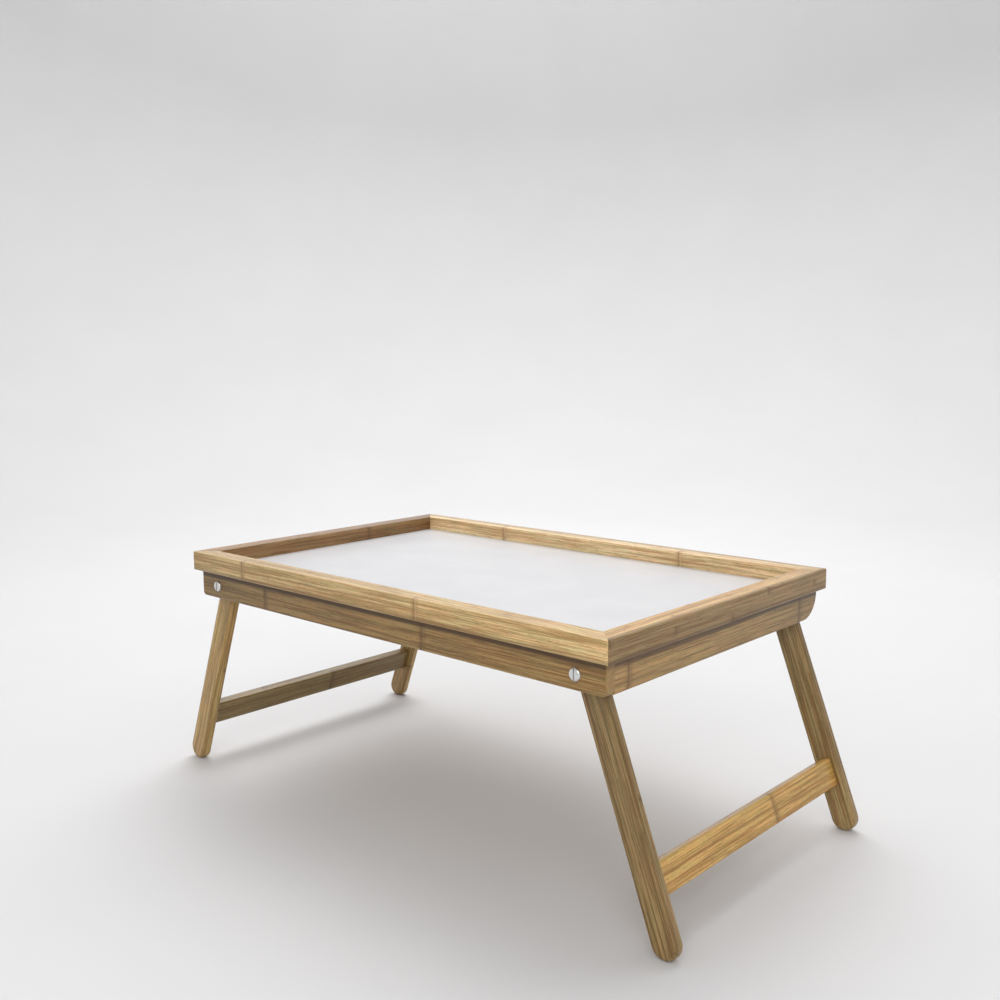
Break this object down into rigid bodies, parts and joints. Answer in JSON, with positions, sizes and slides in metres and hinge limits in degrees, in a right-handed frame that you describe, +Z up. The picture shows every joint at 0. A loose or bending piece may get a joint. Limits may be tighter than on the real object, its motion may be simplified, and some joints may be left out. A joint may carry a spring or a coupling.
{
  "type": "folding tray table",
  "caption": "Bamboo bed tray: a rimmed white panel on shallow aprons, over splayed leg frames that each turn on bolts and fold flat underneath.",
  "frame": {"origin": "on the floor, under the middle of the tray, with both leg frames open", "axes": "+X along the tray's length to its right end, +Y from the front long side to the rear long side, +Z up"},
  "size_m": [0.5926, 0.32, 0.2228],
  "materials": {
    "rim_bamboo": "clear-lacquered bamboo, satin",
    "apron_bamboo": "clear-lacquered bamboo, satin",
    "leg_bamboo": "clear-lacquered bamboo, satin",
    "stretcher_bamboo": "clear-lacquered bamboo, satin",
    "white_panel": "white laminate on fibreboard, satin",
    "dowel_wood": "unfinished turned wood",
    "pivot_metal": "zinc-plated steel, satin"
  },
  "bodies": {
    "tray": {"rim_front": "rim_bamboo", "rim_back": "rim_bamboo", "rim_left": "rim_bamboo", "rim_right": "rim_bamboo", "tray_panel": "white_panel", "apron_front": "apron_bamboo", "apron_back": "apron_bamboo", "apron_left": "apron_bamboo", "apron_right": "apron_bamboo", "apron_dowels": "dowel_wood", "rim_dowels": "dowel_wood", "pivot_bolt_left_front": "pivot_metal", "barrel_nut_left_front": "pivot_metal", "pivot_washer_left_front": "pivot_metal", "pivot_bolt_left_back": "pivot_metal", "barrel_nut_left_back": "pivot_metal", "pivot_washer_left_back": "pivot_metal", "pivot_bolt_right_front": "pivot_metal", "barrel_nut_right_front": "pivot_metal", "pivot_washer_right_front": "pivot_metal", "pivot_bolt_right_back": "pivot_metal", "barrel_nut_right_back": "pivot_metal", "pivot_washer_right_back": "pivot_metal"},
    "left_leg_frame": {"leg_left_front": "leg_bamboo", "leg_left_back": "leg_bamboo", "stretcher_left": "stretcher_bamboo", "leg_dowels_left": "dowel_wood"},
    "right_leg_frame": {"leg_right_front": "leg_bamboo", "leg_right_back": "leg_bamboo", "stretcher_right": "stretcher_bamboo", "leg_dowels_right": "dowel_wood"}
  },
  "joints": [
    {"name": "right_leg_fold", "type": "hinge", "parent": "tray", "child": "right_leg_frame", "pos_m": [0.21766, 0, 0.19178], "axis": [0, 1, 0], "range_deg": [0, 110.5]},
    {"name": "left_leg_fold", "type": "hinge", "parent": "tray", "child": "left_leg_frame", "pos_m": [-0.21766, 0, 0.19178], "axis": [0, -1, 0], "range_deg": [0, 110.5]}
  ]
}
